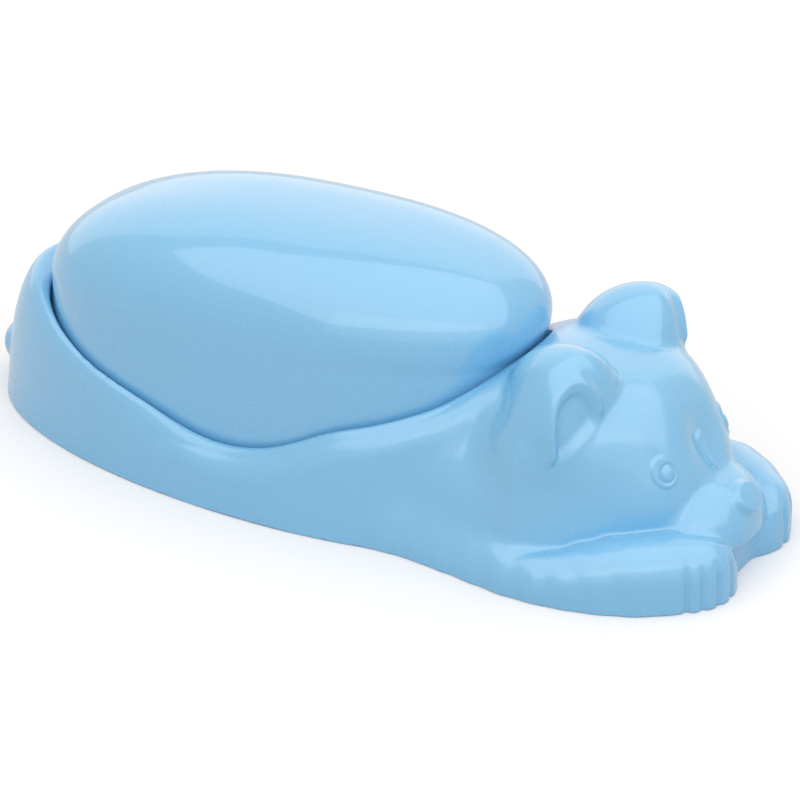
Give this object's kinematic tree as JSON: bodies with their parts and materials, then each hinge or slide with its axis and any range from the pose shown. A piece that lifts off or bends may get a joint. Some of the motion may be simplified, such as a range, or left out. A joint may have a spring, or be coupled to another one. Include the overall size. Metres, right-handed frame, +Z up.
{
  "type": "covered soap dish",
  "caption": "Covered soap dish shaped like a bear lying on its belly: a hollow base with head, paws and soap well, a domed lift-off lid as the back, and a loose slotted soap rest.",
  "frame": {"origin": "on the surface the dish stands on, at the middle of its length and width", "axes": "+X from the tail to the head, +Y to the bear's left, +Z up"},
  "size_m": [0.1998, 0.0758, 0.0636],
  "materials": {
    "base_plastic": "glossy moulded light-blue plastic",
    "lid_plastic": "glossy moulded light-blue plastic",
    "grid_plastic": "glossy moulded light-blue plastic"
  },
  "bodies": {
    "base": {"base_shell": "base_plastic"},
    "lid": {"lid": "lid_plastic"},
    "soap_rest": {"drain_grid": "grid_plastic"}
  },
  "joints": [
    {"name": "lid_lift", "type": "slide", "parent": "base", "child": "lid", "axis": [0, 0, 1], "range_m": [0, 0.12]},
    {"name": "grid_lift", "type": "slide", "parent": "base", "child": "soap_rest", "axis": [0, 0, 1], "range_m": [0, 0.054]}
  ],
  "couplings": [
    {"joint": "grid_lift", "follows": "lid_lift", "ratio": 0.45}
  ]
}
